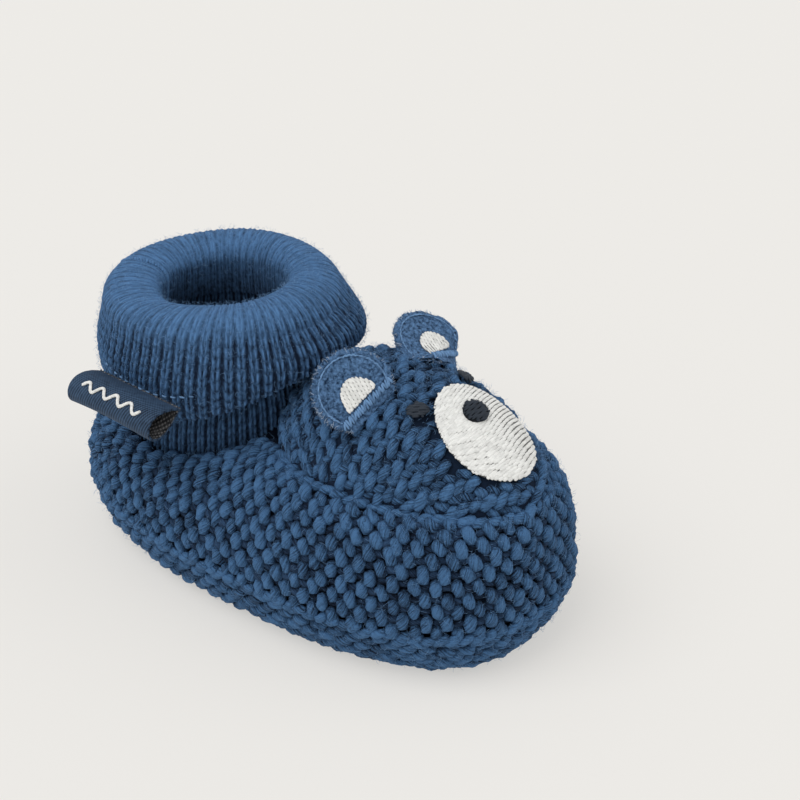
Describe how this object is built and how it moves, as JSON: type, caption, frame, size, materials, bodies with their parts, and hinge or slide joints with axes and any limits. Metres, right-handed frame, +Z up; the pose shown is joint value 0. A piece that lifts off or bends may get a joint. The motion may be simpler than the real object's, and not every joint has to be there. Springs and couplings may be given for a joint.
{
  "type": "baby bootie",
  "caption": "Knitted baby bootie with a turned-down rib cuff, an embroidered bear face, sewn ears and a ribbon label loop.",
  "frame": {"origin": "on the sole's flat underside, midway across the foot and 1.5 mm towards the toe from the middle of its length", "axes": "+Z up from the sole, -Y towards the toe, +X towards the wearer's left; the label loop is on the -X side"},
  "size_m": [0.0687, 0.1124, 0.061],
  "materials": {
    "knit_yarn": "matt chunky yarn",
    "seam_yarn": "matt yarn",
    "rib_knit": "matt fine rib",
    "ear_cloth": "brushed cloth with raw edges",
    "sewing_thread": "soft thread",
    "ivory_embroidery": "satin embroidery thread",
    "dark_embroidery": "satin embroidery thread",
    "backing_cloth": "plain non-woven",
    "woven_ribbon": "close weave"
  },
  "bodies": {
    "bootie": {"sole_knit": "knit_yarn", "side_wall_knit": "knit_yarn", "vamp_knit": "knit_yarn", "sole_seam_yarn": "seam_yarn", "vamp_seam_yarn": "seam_yarn", "cuff_rib": "rib_knit", "cuff_closing_seam": "sewing_thread", "muzzle_embroidery": "ivory_embroidery", "nose_embroidery": "dark_embroidery", "eye_left_embroidery": "dark_embroidery", "eye_right_embroidery": "dark_embroidery", "embroidery_backing": "backing_cloth", "label_stitching": "sewing_thread"},
    "ear_left": {"ear_left_front": "ear_cloth", "ear_left_back": "ear_cloth", "ear_left_patch": "ivory_embroidery", "ear_left_edge_stitching": "sewing_thread", "ear_left_base_stitching": "sewing_thread"},
    "ear_right": {"ear_right_front": "ear_cloth", "ear_right_back": "ear_cloth", "ear_right_patch": "ivory_embroidery", "ear_right_edge_stitching": "sewing_thread", "ear_right_base_stitching": "sewing_thread"},
    "label": {"label_loop": "woven_ribbon", "label_motif": "ivory_embroidery"}
  },
  "joints": [
    {"name": "ear_left_fold", "type": "hinge", "parent": "bootie", "child": "ear_left", "pos_m": [0.01172, -0.01757, 0.05069], "axis": [0.7992, 0.2442, -0.5493], "range_deg": [-20, 60], "stiffness_Nm_per_rad": 0.001},
    {"name": "ear_right_fold", "type": "hinge", "parent": "bootie", "child": "ear_right", "pos_m": [-0.01172, -0.01757, 0.05069], "axis": [0.7992, -0.2442, 0.5493], "range_deg": [-20, 60], "stiffness_Nm_per_rad": 0.001},
    {"name": "label_fold", "type": "hinge", "parent": "bootie", "child": "label", "pos_m": [-0.02607, 0.02741, 0.0435], "axis": [0.0449, 0.999, 0], "range_deg": [-45, 30], "stiffness_Nm_per_rad": 0.0005}
  ]
}
